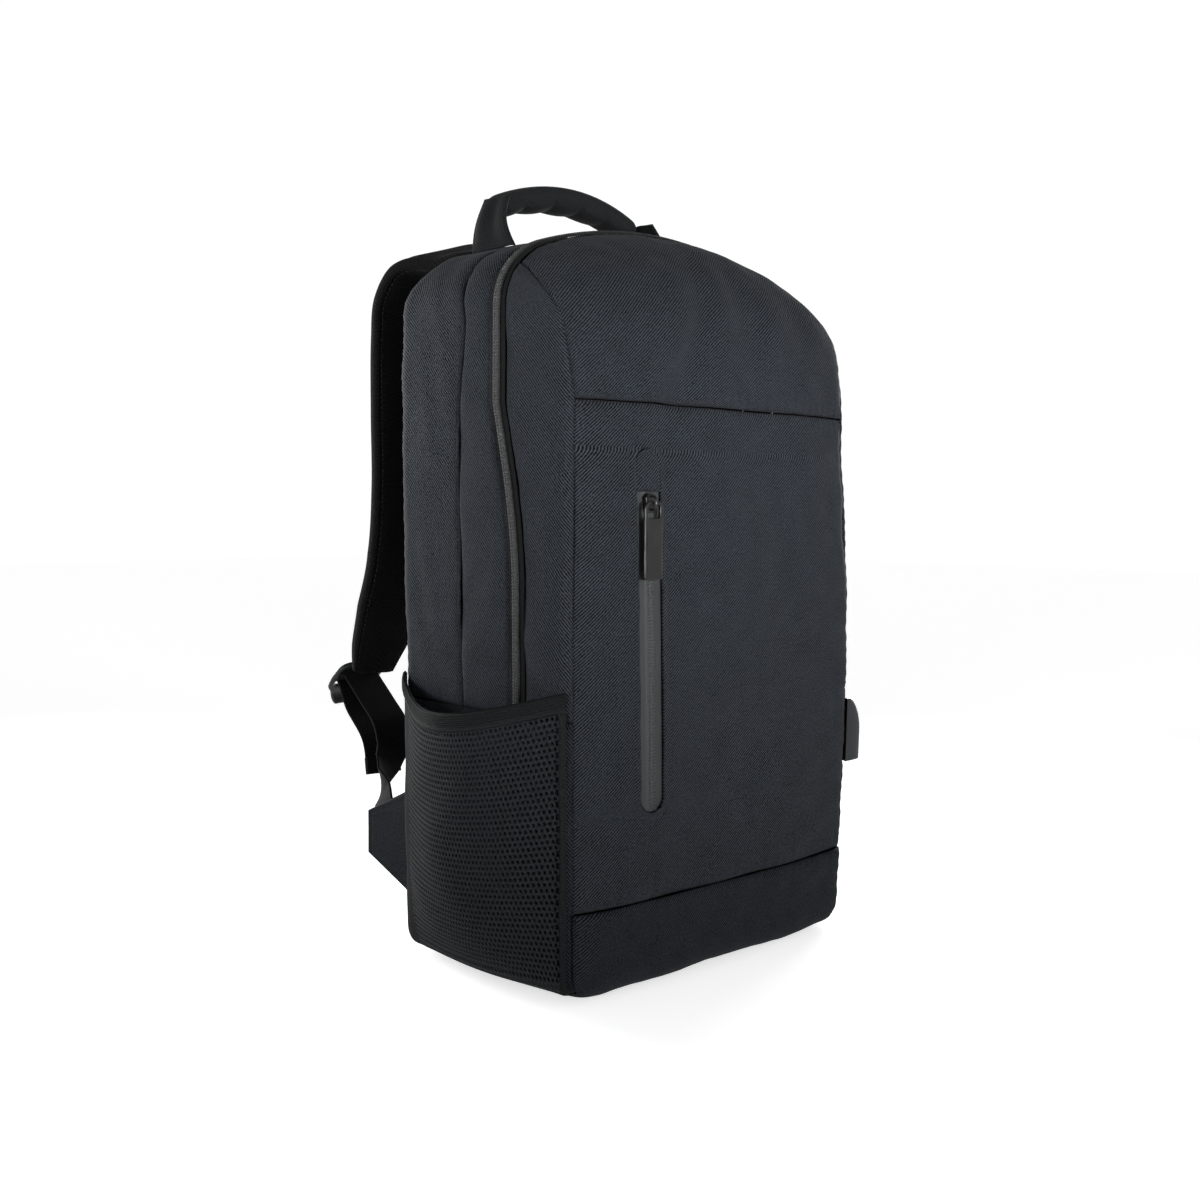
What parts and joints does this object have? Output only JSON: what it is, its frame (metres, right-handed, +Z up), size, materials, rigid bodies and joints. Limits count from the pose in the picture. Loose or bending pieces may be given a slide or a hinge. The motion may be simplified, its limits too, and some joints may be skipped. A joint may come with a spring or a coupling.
{
  "type": "laptop backpack",
  "caption": "Slim upright laptop backpack with a padded grip, two shoulder straps, zipped compartment, vertical front pocket zip, net side pocket and a charging socket.",
  "frame": {"origin": "centre of the flat base, on the surface that the bag stands on", "axes": "+Z up along the bag's height, -Y towards its front, +Y towards the wearer's back, +X to the right of someone facing the front"},
  "size_m": [0.3131, 0.2814, 0.4957],
  "materials": {
    "pack_cloth": "fine twill, charcoal, matt with a faint sheen",
    "padded_cloth": "padded black cloth, matt",
    "webbing": "flat woven webbing and tape, black",
    "pocket_net": "knitted netting, black",
    "elastic_binding": "ribbed elastic binding, black",
    "coated_tape": "coated zip tape with the coil showing as a relief, satin grey",
    "zip_coil": "nylon coil, dark grey",
    "zip_metal": "black lacquered metal, glossy",
    "moulded_plastic": "moulded nylon, satin dark grey",
    "soft_moulding": "soft moulded housing, matt dark grey"
  },
  "bodies": {
    "bag": {"front_panel": "pack_cloth", "front_yoke": "pack_cloth", "base_panel": "pack_cloth", "back_panel": "padded_cloth", "lower_side_left": "pack_cloth", "lower_side_right": "pack_cloth", "front_gusset_left": "pack_cloth", "front_gusset_right": "pack_cloth", "middle_gusset": "pack_cloth", "rear_gusset": "pack_cloth", "main_zip_tape": "webbing", "main_zip_coil": "zip_coil", "main_zip_slider": "zip_metal", "pocket_zip_tape": "coated_tape", "pocket_zip_hood": "pack_cloth", "pocket_zip_slider": "zip_metal", "side_zip_tape": "coated_tape", "side_zip_slider": "zip_metal", "pocket_net": "pocket_net", "pocket_binding": "elastic_binding", "handle_grip": "padded_cloth", "handle_leg_left": "webbing", "handle_leg_right": "webbing", "shoulder_strap_left": "padded_cloth", "shoulder_strap_right": "padded_cloth", "strap_adjuster_left": "moulded_plastic", "strap_adjuster_right": "moulded_plastic", "strap_webbing_left": "webbing", "strap_webbing_right": "webbing", "strap_tab_left": "padded_cloth", "strap_tab_right": "padded_cloth", "usb_housing": "soft_moulding"},
    "pocket_pull": {"pocket_zip_pull": "zip_metal"},
    "side_pull": {"side_zip_pull": "zip_metal"},
    "main_pull": {"main_zip_pull": "zip_metal"}
  },
  "joints": [
    {"name": "pocket_pull_swing", "type": "hinge", "parent": "bag", "child": "pocket_pull", "pos_m": [-0.07119, -0.08942, 0.286], "axis": [-1, 0, 0], "range_deg": [0, 175]},
    {"name": "side_pull_swing", "type": "hinge", "parent": "bag", "child": "side_pull", "pos_m": [0.14113, -0.0645, 0.242], "axis": [0, -1, 0], "range_deg": [0, 175]},
    {"name": "main_pull_swing", "type": "hinge", "parent": "bag", "child": "main_pull", "pos_m": [0.14692, -0.0355, 0.191], "axis": [0, -1, 0], "range_deg": [0, 175]}
  ]
}
